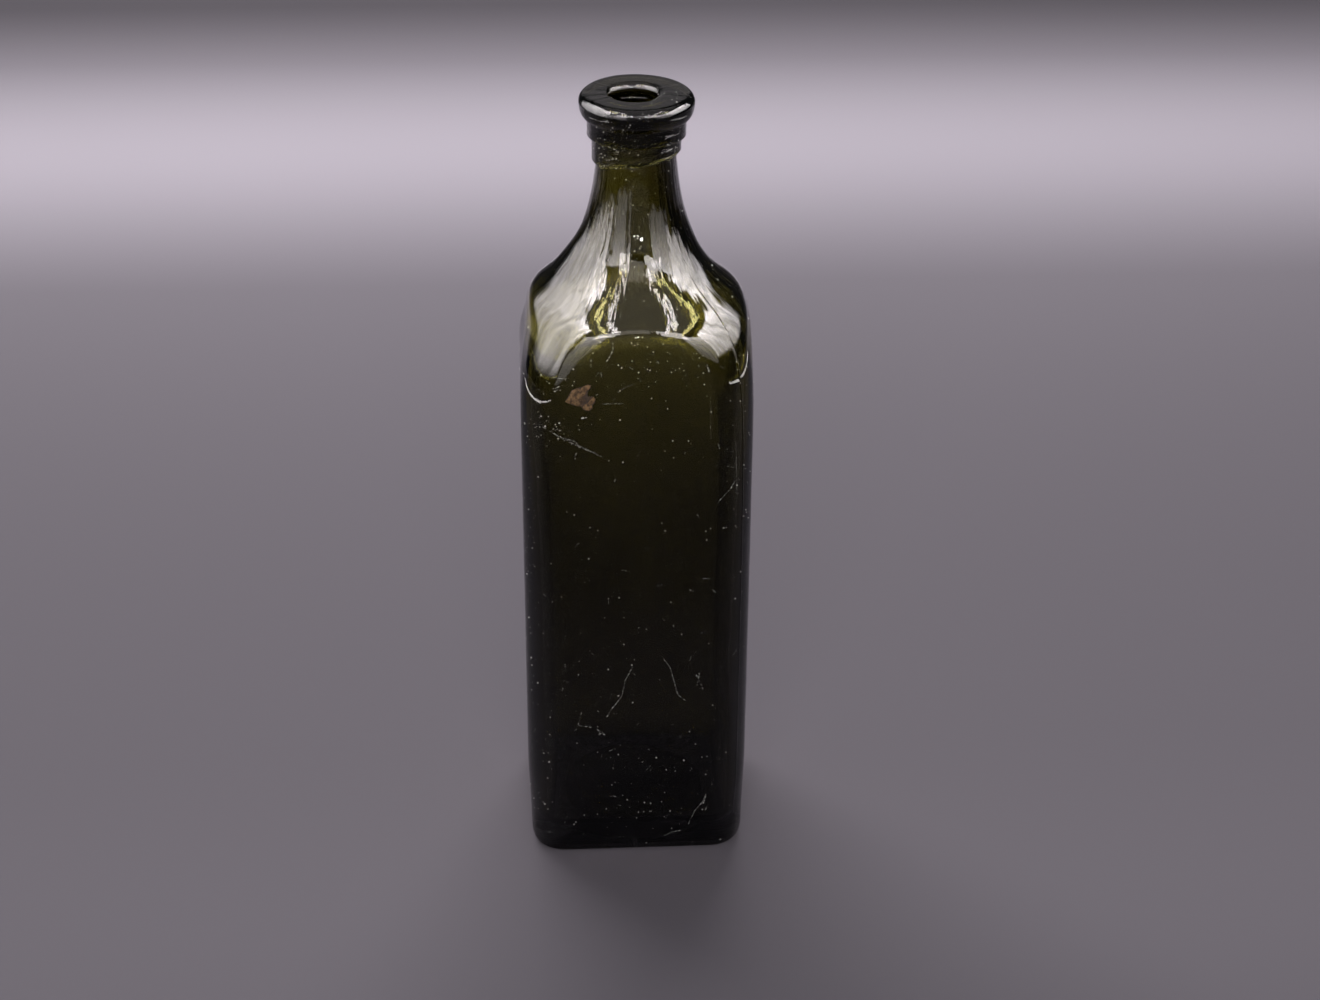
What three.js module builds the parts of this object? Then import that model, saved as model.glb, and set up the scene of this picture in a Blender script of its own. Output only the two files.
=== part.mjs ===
// A half-litre square bottle of dark olive glass: a blown body with a bell-shaped shoulder, a lip laid round
// the end of its neck as a second gather of glass, and a torn scrap of an old paper label on the front wall.
// Millimetres, +Z up, the front wall faces -Y, and the origin is the centre of the base.
import * as THREE from "three";

// Driving sizes of the square body
const bodyWidth = 62;
const cornerRadius = 10.5;
const wall = 3.5;
const floorThickness = 6;
const heelInset = 1.4;
const heelHeight = 5;
const footDraft = 0.7;
const footHeight = 28;
const innerHeelRadius = 5;
const pushUpRadius = 20;
const pushUpHeight = 3.2;

// Driving sizes of the neck and of the bell that widens into the shoulder, the drops taken from the neck's end
const lipHeight = 215.5;
const lipOverNeck = 3.5;
const neckEndRadius = 10;
const boreRadius = 6.2;
const neckFlareDrop = 74.5;
const shoulderReach = 46;
const shoulderDrop = 20.5;
const bellFootDrop = 119.5;
const flatBlend = 6;
const cornerBlend = 12;

// Driving sizes of the applied lip, from its flat top downwards
const flangeRadius = 15.2;
const flangeDepth = 6.6;
const flangeRim = 2.4;
const mouthRim = 1.7;
const collarRadius = 13.05;
const collarDepth = 5.8;
const ringRadius = 11.8;
const ringDepth = 5.5;
const stepRim = 0.8;
const lipSag = 1.4;
const lipSeatGap = 0.3;

// Driving sizes of the label scrap and its place on the front wall
const scrapWidth = 8.1;
const scrapTall = 7.7;
const scrapThickness = 0.2;
const scrapPaste = 0.05;
const scrapAside = -15.4;
const scrapDrop = 69.8;

// How finely round forms are divided
const flatSteps = 8;
const cornerSteps = 5;
const bellSteps = 19;
const rimSteps = 4;
const seatSteps = 3;
const pushUpSteps = 4;
const lipSides = 56;
const halvings = 40;

// Colours of the glass where the light shines through little of it, and of the paper
const bodyColor = 0x1e1f10;
const lipColor = 0x1a1c10;
const paperColor = 0x6b4630;
const glassRoughness = 0.08;
const paperRoughness = 0.9;

const halfWidth = bodyWidth / 2;
const cornerCentre = halfWidth - cornerRadius;
const cornerReach = cornerCentre * Math.SQRT2 + cornerRadius;
const bellFootReach = cornerReach + cornerBlend;
const neckEndHeight = lipHeight - lipOverNeck;
const quarterTurn = Math.PI / 2;
const walls = 4;

// Distance from the bottle's axis to the outline of the rounded square, drawn in by an inset
function squareReach(angle, inset) {
  const half = halfWidth - inset;
  const radius = Math.max(half - cornerCentre, 0);
  const centre = half - radius;
  const across = Math.abs(Math.cos(angle));
  const along = Math.abs(Math.sin(angle));
  const flat = half / Math.max(across, along);
  if (flat * Math.min(across, along) <= centre) return flat;
  const sum = centre * (across + along);
  return sum + Math.sqrt(sum * sum - 2 * centre * centre + radius * radius);
}

// The shoulder turns into a wall over a short length at the middle of the wall and a longer one at a corner
function blendLength(angle) {
  const towardsCorner = Math.sin(2 * angle) ** 4;
  return THREE.MathUtils.lerp(flatBlend, cornerBlend, towardsCorner);
}

// The smaller of two distances, rounded off where they are nearly equal
function softMin(a, b, blend) {
  const near = Math.max(blend - Math.abs(a - b), 0);
  return Math.min(a, b) - (near * near) / (4 * blend);
}

// Angles of the upright columns of points: even steps across each wall and round each corner
function columnAngles() {
  const flatHalf = Math.atan2(cornerCentre, halfWidth);
  const cornerHalf = quarterTurn / 2 - flatHalf;
  const angles = [];
  for (let side = 0; side < walls; side += 1) {
    const middle = side * quarterTurn;
    for (let i = 0; i < flatSteps; i += 1) {
      angles.push(middle - flatHalf + (2 * flatHalf * i) / flatSteps);
    }
    for (let i = 0; i < cornerSteps; i += 1) {
      angles.push(middle + flatHalf + (2 * cornerHalf * i) / cornerSteps);
    }
  }
  return angles;
}

// One ring of the body: how far its round form reaches, its height, and how far the square is drawn in there
function ring(reach, height, inset) {
  return { reach, height, inset };
}

// The outside of the bell, from the neck's end down to where the corners have their full size
const bell = new THREE.CubicBezierCurve(
  new THREE.Vector2(neckEndRadius, neckEndHeight),
  new THREE.Vector2(neckEndRadius, neckEndHeight - neckFlareDrop),
  new THREE.Vector2(shoulderReach, neckEndHeight - shoulderDrop),
  new THREE.Vector2(bellFootReach, neckEndHeight - bellFootDrop),
);

// Rings of the bell from the neck down, moved inwards by the glass's thickness there
function bellRings(neckWall, bodyWall) {
  const rings = [];
  for (let i = 0; i <= bellSteps; i += 1) {
    const t = i / bellSteps;
    const point = bell.getPoint(t);
    const tangent = bell.getTangent(t);
    const thickness = THREE.MathUtils.lerp(neckWall, bodyWall, t);
    const reach = point.x + tangent.y * thickness;
    rings.push(ring(reach, point.y - tangent.x * thickness, bodyWall));
  }
  return rings;
}

// Rings of the round edge between a wall and the base, or between the inner wall and the floor
function heelRings(drawnIn, tall, startInset, bottom) {
  const rings = [];
  for (let i = 0; i <= rimSteps; i += 1) {
    const turn = (quarterTurn * i) / rimSteps;
    const inset = startInset + drawnIn * (1 - Math.sin(turn));
    rings.push(ring(bellFootReach, bottom + tall * (1 - Math.cos(turn)), inset));
  }
  return rings;
}

// Rings of the push-up: a shallow dome that rises from its rim to the middle of the base
function pushUpRings(bottom) {
  const rings = [];
  for (let i = 0; i <= pushUpSteps; i += 1) {
    const turn = (quarterTurn * i) / pushUpSteps;
    const rise = pushUpHeight * Math.cos(turn) ** 2;
    rings.push(ring(pushUpRadius * Math.sin(turn), bottom + rise, 0));
  }
  return rings;
}

// A lathe form whose rings are drawn in to the rounded square
function squaredLathe(rings) {
  const angles = columnAngles();
  const profile = rings.map((r) => new THREE.Vector2(r.reach, r.height));
  const geometry = new THREE.LatheGeometry(profile, angles.length);
  const position = geometry.getAttribute("position");
  for (let column = 0; column <= angles.length; column += 1) {
    const angle = angles[column % angles.length];
    rings.forEach((r, row) => {
      const square = squareReach(angle, r.inset);
      const radius = r.reach === 0 ? 0 : softMin(r.reach, square, blendLength(angle));
      const index = column * rings.length + row;
      position.setXYZ(index, radius * Math.cos(angle), radius * Math.sin(angle), r.height);
    });
  }
  geometry.computeVertexNormals();
  return geometry;
}

// The blown body: base, walls, shoulder and neck as one hollow of nearly even thickness, open at the neck's
// end; its walls draw in a little towards the base
function glassBody() {
  const outside = [
    ...pushUpRings(0),
    ...heelRings(heelInset, heelHeight, footDraft, 0),
    ring(bellFootReach, footHeight, 0),
    ...bellRings(0, 0).reverse(),
  ];
  const inside = [
    ...bellRings(neckEndRadius - boreRadius, wall),
    ...heelRings(innerHeelRadius, innerHeelRadius, wall, floorThickness).reverse(),
    ...pushUpRings(floorThickness).reverse(),
  ];
  return squaredLathe([...outside, ...inside]);
}

// Points of a quarter round from one direction to the next, both given in quarter turns from +X
function roundPoints(centreX, centreY, radiusX, radiusY, from, to) {
  const path = new THREE.EllipseCurve(
    centreX, centreY, radiusX, radiusY, from * quarterTurn, to * quarterTurn, to < from,
  );
  return path.getPoints(rimSteps);
}

// The neck's outside seen from within the lip, from the lip's lower edge up to the neck's end
function seatPoints(bottom) {
  const points = [];
  const foot = bellParameterAt(bottom);
  for (let i = 0; i <= seatSteps; i += 1) {
    const point = bell.getPoint(foot * (1 - i / seatSteps));
    points.push(new THREE.Vector2(point.x + lipSeatGap, point.y));
  }
  points[points.length - 1].y += lipSeatGap;
  return points;
}

// The place along the bell where it has a given height, found by halving
function bellParameterAt(height) {
  let low = 0;
  let high = 1;
  for (let i = 0; i < halvings; i += 1) {
    const middle = (low + high) / 2;
    if (bell.getPoint(middle).y > height) low = middle;
    else high = middle;
  }
  return low;
}

const collarTop = lipHeight - flangeDepth;
const ringTop = collarTop - collarDepth;
const lipBottom = ringTop - ringDepth;

// The lip's outline: up the seat, in over the neck's end, up the mouth, and down the flange and its two
// collars, then turned round so that the faces point out
function lipOutline() {
  const flangeMiddle = lipHeight - flangeRim;
  const outline = [
    ...seatPoints(lipBottom),
    new THREE.Vector2(boreRadius, neckEndHeight + lipSeatGap),
    ...roundPoints(boreRadius + mouthRim, lipHeight - mouthRim, mouthRim, mouthRim, 2, 1),
    ...roundPoints(flangeRadius - flangeRim, flangeMiddle, flangeRim, flangeRim, 1, 0),
    ...roundPoints(
      collarRadius, flangeMiddle, flangeRadius - collarRadius, flangeMiddle - collarTop, 0, -1,
    ),
    ...roundPoints(collarRadius - stepRim, ringTop + stepRim, stepRim, stepRim, 0, -1),
    new THREE.Vector2(ringRadius, ringTop),
    ...roundPoints(ringRadius - stepRim, lipBottom + stepRim, stepRim, stepRim, 0, -1),
  ];
  outline.push(outline[0].clone());
  return outline.reverse();
}

// The applied lip: a turned ring whose lower edge sagged further down the neck on its left side
function appliedLip() {
  const geometry = new THREE.LatheGeometry(lipOutline(), lipSides);
  geometry.rotateX(quarterTurn);
  const position = geometry.getAttribute("position");
  for (let i = 0; i < position.count; i += 1) {
    const below = THREE.MathUtils.clamp((ringTop - position.getZ(i)) / ringDepth, 0, 1);
    const aside = position.getX(i) / ringRadius;
    position.setZ(i, position.getZ(i) + lipSag * aside * below);
  }
  geometry.computeVertexNormals();
  return geometry;
}

// Torn outline of the label scrap, in shares of its width and height
const tornEdge = [
  [-0.5, -0.1], [-0.42, 0.09], [-0.2, 0.19], [0, 0.25], [0.14, 0.43], [0.3, 0.5], [0.34, 0.4],
  [0.24, 0.23], [0.18, 0.08], [0.38, 0.04], [0.5, -0.03], [0.45, -0.2], [0.38, -0.46], [0.22, -0.5],
  [0.14, -0.32], [-0.12, -0.24], [-0.32, -0.18],
];

// The label scrap: a thin flat flake of paper lying on the front wall
function labelScrap() {
  const points = tornEdge.map(([x, y]) => new THREE.Vector2(x * scrapWidth, y * scrapTall));
  const geometry = new THREE.ExtrudeGeometry(new THREE.Shape(points), {
    depth: scrapThickness,
    bevelEnabled: false,
  });
  geometry.rotateX(quarterTurn);
  return geometry;
}

function piece(name, geometry, color, roughness) {
  const material = new THREE.MeshStandardMaterial({ color, roughness, metalness: 0 });
  const mesh = new THREE.Mesh(geometry, material);
  mesh.name = name;
  return mesh;
}

const bottle = new THREE.Group();
bottle.add(piece("glass_body", glassBody(), bodyColor, glassRoughness));
bottle.add(piece("applied_lip", appliedLip(), lipColor, glassRoughness));

const scrap = piece("label_scrap", labelScrap(), paperColor, paperRoughness);
scrap.position.set(scrapAside, -halfWidth - scrapPaste, neckEndHeight - scrapDrop);
bottle.add(scrap);

export default bottle;
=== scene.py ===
"""Looks of the square bottle: olive glass, a fused lip, a label scrap, dust and scratches."""
import math
import random
from collections import Counter

import bmesh
import bpy
import numpy as np
from mathutils import Matrix, Vector, geometry, noise
from mathutils.bvhtree import BVHTree


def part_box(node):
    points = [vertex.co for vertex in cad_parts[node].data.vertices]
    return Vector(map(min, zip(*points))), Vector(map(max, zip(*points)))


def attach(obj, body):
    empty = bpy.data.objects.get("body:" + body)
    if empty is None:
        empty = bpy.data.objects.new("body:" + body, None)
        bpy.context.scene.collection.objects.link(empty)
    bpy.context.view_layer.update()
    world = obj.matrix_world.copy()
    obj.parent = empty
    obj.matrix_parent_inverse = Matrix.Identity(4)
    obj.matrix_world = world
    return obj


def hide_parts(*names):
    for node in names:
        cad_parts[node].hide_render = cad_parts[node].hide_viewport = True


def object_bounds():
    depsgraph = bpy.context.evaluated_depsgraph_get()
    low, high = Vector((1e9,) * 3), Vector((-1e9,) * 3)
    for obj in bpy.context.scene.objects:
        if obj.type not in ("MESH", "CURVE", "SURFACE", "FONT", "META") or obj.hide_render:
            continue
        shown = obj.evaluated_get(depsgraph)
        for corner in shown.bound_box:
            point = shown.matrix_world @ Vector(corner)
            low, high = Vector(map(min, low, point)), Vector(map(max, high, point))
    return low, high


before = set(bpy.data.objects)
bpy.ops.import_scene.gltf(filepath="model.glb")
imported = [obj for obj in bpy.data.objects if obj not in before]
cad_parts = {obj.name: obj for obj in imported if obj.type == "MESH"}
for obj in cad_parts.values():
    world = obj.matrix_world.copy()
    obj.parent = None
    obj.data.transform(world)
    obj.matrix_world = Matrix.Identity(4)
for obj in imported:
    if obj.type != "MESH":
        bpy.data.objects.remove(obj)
cad_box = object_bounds()

MM = 0.001
body_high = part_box("glass_body")[1]
lip_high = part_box("applied_lip")[1]
scrap_low, scrap_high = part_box("label_scrap")

# Sizes of the square body, in metres, as the frame holds them
HALF = body_high.x
NECK_END = body_high.z
CORNER_RADIUS = 10.5 * MM
CORNER_CENTRE = HALF - CORNER_RADIUS
FLOOR = 6 * MM
HEEL_INSET = 1.4 * MM
HEEL_HEIGHT = 5 * MM
FOOT_DRAFT = 0.7 * MM
FOOT_HEIGHT = 28 * MM
INNER_HEEL = 5 * MM
PUSH_RADIUS = 20 * MM
PUSH_HEIGHT = 3.2 * MM
NECK_RADIUS = 10 * MM
BORE_RADIUS = 6.2 * MM

# Thickness of the walls at the shoulder and low down, and how fast it grows below the shoulder
SHOULDER_WALL = 1.9 * MM
LOW_WALL = 5.4 * MM
WALL_TOP = 150.5 * MM
WALL_RUN = 50 * MM

# The bell's curve, with drops below the neck's end, and how softly it meets the walls
FLARE_DROP = 74.5 * MM
SHOULDER_REACH = 46 * MM
SHOULDER_DROP = 20.5 * MM
BELL_DROP = 119.5 * MM
FLAT_BLEND = 6 * MM
FRONT_CRISP = 3 * MM
CORNER_BLEND = 12 * MM
BELL_REACH = CORNER_CENTRE * math.sqrt(2) + CORNER_RADIUS + CORNER_BLEND
BELL_POINTS = (
    np.array([NECK_RADIUS, NECK_END]),
    np.array([NECK_RADIUS, NECK_END - FLARE_DROP]),
    np.array([SHOULDER_REACH, NECK_END - SHOULDER_DROP]),
    np.array([BELL_REACH, NECK_END - BELL_DROP]),
)

# Sizes of the applied lip
LIP_TOP = lip_high.z
FLANGE_RADIUS = 15.2 * MM
FLANGE_DEPTH = 6.6 * MM
FLANGE_RIM = 2.4 * MM
MOUTH_RIM = 1.7 * MM
COLLAR_RADIUS = 13.05 * MM
COLLAR_DEPTH = 5.8 * MM
RING_RADIUS = 11.8 * MM
RING_DEPTH = 5.5 * MM
STEP_RIM = 0.8 * MM
FUSE = 0.15 * MM

# Unevenness of the blown body; a zone is a height and the length over which a thing grows or fades
OUTER_WOBBLE = 0.10 * MM
INNER_WOBBLE = 0.32 * MM
WOBBLE_LENGTH = 19 * MM
INNER_LENGTH = WOBBLE_LENGTH * 1.1
FINE_LENGTH = WOBBLE_LENGTH * 0.35
FINE_SHARE = 0.25
NOISE_SQUEEZE = 0.55
UNEVEN_ZONE = (4 * MM, 14 * MM)
EVEN_BORE = 12 * MM
FADE = 30 * MM
PANEL_SINK = 0.22 * MM
PANEL_ZONE = (78 * MM, 66 * MM)
SEAM_HEIGHT = 0.14 * MM
SEAM_WIDTH = 0.32 * MM
SEAM_ANGLES = (-math.pi / 4, 3 * math.pi / 4)
SEAM_DROP = 25 * MM
SEAM_COLUMNS, SEAM_REACH, SEAM_CLEAR = 13, 2, 2.4
NECK_STREAK = 0.05 * MM
STREAK_DROP = 60 * MM
WAIST_DENT = 0.5 * MM
WAIST_ZONE = (165.5 * MM, 4.5 * MM)
LOW_SHOULDER = 2.0 * MM
LOW_SHOULDER_ZONE = (154 * MM, 7.5 * MM)
LEAN = 0.62 * MM
LEAN_ZONE = (167 * MM, 12 * MM)
LEAN_ABOVE = 0.14 * MM
LEAN_ABOVE_ZONE = (178 * MM, 32 * MM)

# Unevenness of the hand-tooled lip: how deep each kind goes and how long its waves are
LIP_TILT = 0.074
LIP_SINK = 1.15 * MM
TILT_OVER = 12 * MM
LEAN_OVER = 3.2 * MM
LIP_SAG = 1.4 * MM
LIP_TRIM = 0.1 * MM
LIP_WAVE, LIP_WAVE_LENGTH = 0.11 * MM, 14 * MM
LIP_WOBBLE, LIP_WOBBLE_LENGTH = 0.06 * MM, 6 * MM
TOOLING, TOOLING_LENGTH = 0.035 * MM, 0.42 * MM
RAGGED, RAGGED_LENGTH = 0.5 * MM, 3.2 * MM
OUTSIDE_OVER = 1.5 * MM
RUN_ANGLE = math.radians(215)
RUN_DEPTH = 0.9 * MM
RUN_NARROWNESS = 4
TOP_WAVE, TOP_OVER = 0.09 * MM, 3 * MM

# Fineness of the visual meshes
FLAT_COLUMNS = 34
CORNER_COLUMNS = 22
BELL_ROWS = 126
WALL_ROWS = 50
RIM_ROWS = 10
PUSH_ROWS = 16
LIP_COLUMNS = 220
CURVE_ROWS = 400
SEAT_ROWS = 14
FINE_ROWS = 9
ON_AXIS = 1e-9

# The glass: the colour that passes, densities, its film of grime, its pits and drawn streaks
GLASS_IOR = 1.52
PASSED = (0.506, 0.482, 0.0)
BODY_DENSITY, BODY_GRAIN = 800, 0.12
LIP_DENSITY, LIP_GRAIN = 900, 0.6
CLEAN_FILM = (0.97, 0.975, 0.95)
GRIMY_FILM = (0.80, 0.79, 0.74)
PIT_DEPTH = 0.04 * MM
DRAWN_RELIEF = 0.22 * MM
DRAWN_LINES = 5.0
DRAWN_TWIST = 14
DRAWN_FROM, DRAWN_OVER = 148 * MM, 20 * MM
DULL_DEPTH = 0.05 * MM

# Scratches and dust; areas and sizes of single pieces are in millimetres
OUTSIDE = 200 * MM
THREAD_STEP = 0.22 * MM
THREAD_JITTER = 0.09
SCRATCH_RISE = 0.02 * MM
SMALL_SCRATCHES = 90
SCRATCHED_AREA = ((-27, 27), (4, 156))
FRONT_FLECKS = 300
ROUND_FLECKS = 420
TOP_FLECKS = 40
DUSTY_WIDTH, DUSTY_HEIGHT = (-30, 30), (2, 213)
TOP_DUST = ((3, 7), (-3, 7))
LOWEST_DUST = 1 * MM
FINEST_FLECK, FLECK_RANGE = 0.11, 0.38

# Where dust has gathered on the front: x, z, spread across, spread up (mm) and number
DUST_CLUSTERS = (
    (0, 195, 6, 9, 25),
    (1, 172, 5, 9, 40),
    (-24, 133, 4, 2.5, 60),
    (12, 152, 8, 3, 60),
    (-7, 203, 3, 4, 40),
    (-2, 200, 4, 6, 40),
    (2, 180, 3, 8, 50),
    (0, 166, 8, 9, 60),
    (-22, 150, 5, 6, 40),
    (26, 140, 3, 20, 40),
    (-29, 90, 1.2, 40, 60),
    (4, 16, 10, 9, 30),
    (22, 160, 4, 6, 40),
)

# Single crumbs: x, z and size in millimetres
SPECKS = (
    (-25.1, 30.5, 0.55), (-24.6, 45.3, 0.4), (-26.5, 15.6, 0.5), (9, 13.2, 0.5), (18.5, 15.7, 0.5),
    (19, 17.7, 0.45), (3.5, 16, 0.45), (3.6, 13.3, 0.35), (0, 13.1, 0.35), (19, 25.5, 0.4),
    (7.8, 27.4, 0.35), (-17.3, 37.1, 0.35), (3.1, 141.7, 0.4), (-5.1, 135.7, 0.4),
    (6.8, 140.9, 0.35), (7.3, 138.7, 0.35), (-5.5, 151.2, 0.4), (-5.1, 144, 0.35),
    (-24.6, 133.7, 0.5), (-17.1, 150, 0.45), (-12, 154.5, 0.35), (6, 156.8, 0.4), (2, 156.1, 0.3),
    (17.8, 102.6, 0.35), (18.1, 100, 0.3), (29.7, 103.6, 0.4), (27.7, 88.6, 0.35),
    (-5.4, 82.9, 0.4), (-21, 83.7, 0.3), (11.7, 71.1, 0.3), (-5, 201.5, 0.3), (-8.2, 206.6, 0.3),
    (-3.4, 208.5, 0.3), (-1, 196.4, 0.3),
)

# Scratches on the front: width, then a line of (x, z), in millimetres
SCRATCHES = {
    "bright_curve": (0.3, ((-7, 157.3), (-6.8, 155.9), (-7.4, 154), (-8.7, 152))),
    "upright_left": (0.14, ((-10, 149.2), (-9.8, 147.6))),
    "smear": (0.18, ((-12.5, 152.8), (-12.6, 150.2))),
    "over_scrap": (0.12, ((-22.4, 147.2), (-18, 147.5))),
    "pair_upper": (0.22, ((-22.6, 144.3), (-19.7, 145.7))),
    "pair_lower": (0.22, ((-22.2, 143.7), (-20.1, 144.9))),
    "hook": (0.14, ((-0.6, 147.4), (0.4, 147.1), (-0.1, 146))),
    "faint_bow": (0.08, ((-5.7, 143.5), (-3.8, 144.9), (-0.8, 146))),
    "level_line": (0.12, ((-9.4, 140.2), (-8.1, 140.4), (-3.6, 140.4))),
    "bright_dash": (0.35, ((-15.3, 136.4), (-13.5, 136.6))),
    "long_upper": (
        0.09,
        ((-26.3, 134), (-23.8, 132.9), (-19.9, 130.8), (-16, 128.3), (-12.1, 126.5), (-8.8, 124.6)),
    ),
    "long_lower": (
        0.09,
        ((-22.5, 132.3), (-19.5, 130.1), (-16.9, 129), (-13.8, 127.7), (-10.4, 125.3)),
    ),
    "long_inner": (0.1, ((-19.5, 130.8), (-17.3, 130), (-15.1, 128))),
    "below_long": (0.12, ((-16.4, 126.6), (-17, 125.4), (-16.7, 124.2))),
    "right_upright": (0.2, ((17.3, 150.8), (18.1, 148.5))),
    "right_slant": (0.12, ((15.1, 151.1), (15.7, 149.1))),
    "right_long": (0.05, ((18.5, 145), (18.7, 129.5))),
    "edge_long": (0.05, ((25.5, 127.6), (26.1, 111.9))),
    "right_bow": (0.22, ((25.5, 116.7), (24.1, 114.6), (21.9, 112.3), (21.1, 111.4))),
    "right_level": (0.13, ((23.1, 121.7), (25.4, 120.7))),
    "right_tick": (0.14, ((20.6, 128.4), (21.2, 126.7))),
    "low_dashes": (0.15, ((-1.7, 61.1), (-3.8, 56.9), (-4.6, 52), (-7.6, 47.8), (-9.2, 44.7))),
    "low_hook": (0.13, ((6.8, 63.3), (8.6, 60.8), (9.5, 57.1), (10.8, 51.9), (13.3, 49.6))),
    "low_angle": (0.13, ((-15.9, 47.1), (-17, 42.9), (-12.9, 42))),
    "low_cross": (0.2, ((-11.7, 41.4), (-9.2, 39.3))),
    "low_cross_over": (0.16, ((-11.2, 39.6), (-9.5, 40.8))),
    "low_pair": (0.12, ((15.8, 58.2), (18, 53.2))),
    "low_pair_right": (0.12, ((16.7, 58.8), (16.1, 54.5))),
    "heel_bow": (0.12, ((7.6, 4.7), (9.5, 5.8), (12.4, 6.3))),
    "heel_rise": (0.14, ((14.3, 8.5), (16.1, 13), (18.4, 16.3), (19.3, 19.1))),
    "heel_tick": (0.12, ((19, 12.9), (20.1, 15.6))),
    "heel_left": (0.14, ((-27.9, 17.1), (-26.3, 15.3))),
    "ring_upper": (0.2, ((6.7, 200.8), (8.5, 201), (10.3, 200.5))),
    "ring_lower": (0.18, ((7.6, 199), (8.2, 199.4), (10.5, 199))),
}

# The label scrap: outlines of (x, z) in millimetres from its centre on the front wall
SCRAP_CENTRE = Vector(((scrap_low.x + scrap_high.x) / 2, (scrap_low.z + scrap_high.z) / 2))
SCRAP_MAIN = [
    (-3.85, -0.9), (-2.9, 0.5), (-2.1, 2.1), (-0.85, 2.75), (0, 2.4), (0.85, 3.2), (1.9, 3.65),
    (2.7, 3.4), (2.4, 2.5), (1.55, 1.85), (1.25, 0.9), (0.4, 0.2), (0.7, -0.9), (0, -2.1),
    (-1.0, -2.3), (-1.9, -1.6), (-2.9, -1.6),
]
SCRAP_PALE = [
    (0.6, -2.5), (0.95, -1.9), (1.9, -1.6), (2.5, -0.65), (3.35, 0.2), (3.85, -0.25), (3.7, -1.1),
    (2.9, -1.9), (3.05, -2.8), (2.3, -3.6), (1.5, -3.45), (0.75, -3.2),
]
SCRAP_RESIDUE = [
    (-3.9, -1.0), (-2.2, 2.2), (0, 2.9), (2.0, 3.7), (2.9, 3.4), (2.0, 1.6), (1.8, 0.4),
    (3.3, 0.35), (3.9, -0.4), (3.8, -1.4), (3.1, -2.2), (3.2, -2.9), (2.3, -3.7), (0.7, -3.3),
    (0.2, -2.4), (-2.0, -2.0),
]

# The scrap's plies, paste and fibres; steps, jitters and widths of edges are in millimetres
FIBRES = 45
FIBRE_LIFT, FIBRE_WIDTH, FIBRE_RISE = 0.11, 0.07 * MM, 0.03 * MM
MAIN_PLY, PALE_PLY, PASTE = 0.17 * MM, 0.12 * MM, 0.03 * MM
PAPER_SUNK = 0.02 * MM
TORN_STEP, TORN_JITTER = 0.22, 0.07
SHEET_STEP, SHEET_JITTER = 0.3, 0.06
EDGE_CLEAR = 0.1
EDGE_WIDTH, EDGE_SHARE = 0.5, 0.3
CRUMPLE, CRUMPLE_FINENESS = 0.45, 1.6

# The photograph's camera, in the bottle's frame
CAMERA_PLACE = Vector((-0.030333, -0.569935, 0.379228))
CAMERA_FORWARD = Vector((0.0594361, 0.8945140, -0.4430712)).normalized()
CAMERA_ROLL = math.radians(0.41)
FOCAL_PIXELS = 2272.4
FRAME_WIDTH = 1320
SENSOR_WIDTH = 36.0
CLIP_START = 0.01

# Lamps, world and floor: the centres that lamps face, tints, and the floor's greys over its depth,
# which are painted light: a painted band of light behind the bottle and painted shade nearer and
# further off
LIT_CENTRE = Vector((0, 0, 0.14))
SHOULDER_CENTRE = Vector((0, 0, 0.165))
ROOF_HEIGHT = 1.3
PANEL_TINT = (1.0, 0.94, 0.96)
STRIP_YELLOW = (1.0, 0.9, 0.4)
PANEL_STREAKS = (14, 1.5, 1)
WORLD_TINT = (0.95, 0.95, 1.0, 1)
WORLD_LIGHT = 0.17
WORLD_MIRRORED = 0.03
FLOOR_SIZE = 8
FLOOR_NEAR, FLOOR_FAR = -0.2, 0.95
FLOOR_TINT = (1, 0.9, 1.02)
FLOOR_PAINTED_LIGHT = (
    (0, 0.09), (0.087, 0.27), (0.197, 0.21), (0.543, 0.24), (0.635, 0.45), (0.717, 0.57),
    (0.799, 0.46), (0.881, 0.27), (1, 0.09),
)


def soft_min(a, b, blend):
    near = np.maximum(blend - np.abs(a - b), 0)
    return np.minimum(a, b) - near * near / (4 * blend)


def square_reach(angle, inset):
    """Distance from the axis to the rounded square's outline, drawn in by an inset."""
    half = HALF - inset
    radius = np.maximum(half - CORNER_CENTRE, 0)
    centre = half - radius
    across, along = np.abs(np.cos(angle)), np.abs(np.sin(angle))
    flat = half / np.maximum(across, along)
    on_flat = flat * np.minimum(across, along) <= centre
    total = centre * (across + along)
    root = np.sqrt(np.maximum(total * total - 2 * centre * centre + radius * radius, 0))
    return np.where(on_flat, flat, total + root)


def blend_length(angle):
    front = np.maximum(-np.sin(angle), 0) ** 3
    towards_corner = np.abs(np.sin(2 * angle)) ** (4 + 8 * front)
    flat = FLAT_BLEND - FRONT_CRISP * front
    return flat + (CORNER_BLEND - flat) * towards_corner


def turn_between(angle, other):
    """The turn from one angle to another, between half a turn back and half a turn on."""
    return (angle - other + math.pi) % (2 * math.pi) - math.pi


def column_angles():
    """Even steps across the walls and corners, with close steps over the two mould seams."""
    flat_half = math.atan2(CORNER_CENTRE, HALF)
    quarter = math.pi / 2
    angles = []
    for side in range(4):
        middle = side * quarter
        angles += list(middle + np.linspace(-flat_half, flat_half, FLAT_COLUMNS, endpoint=False))
        corner_end = quarter - flat_half
        angles += list(middle + np.linspace(flat_half, corner_end, CORNER_COLUMNS, endpoint=False))
    close = SEAM_WIDTH / (HALF * math.sqrt(2))
    for seam in SEAM_ANGLES:
        angles = [a for a in angles if abs(turn_between(a, seam)) > SEAM_CLEAR * close]
        steps = np.linspace(-SEAM_REACH, SEAM_REACH, SEAM_COLUMNS)
        angles += [seam + close * step for step in steps]
    return np.array(sorted(a % (2 * math.pi) for a in angles))


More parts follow.
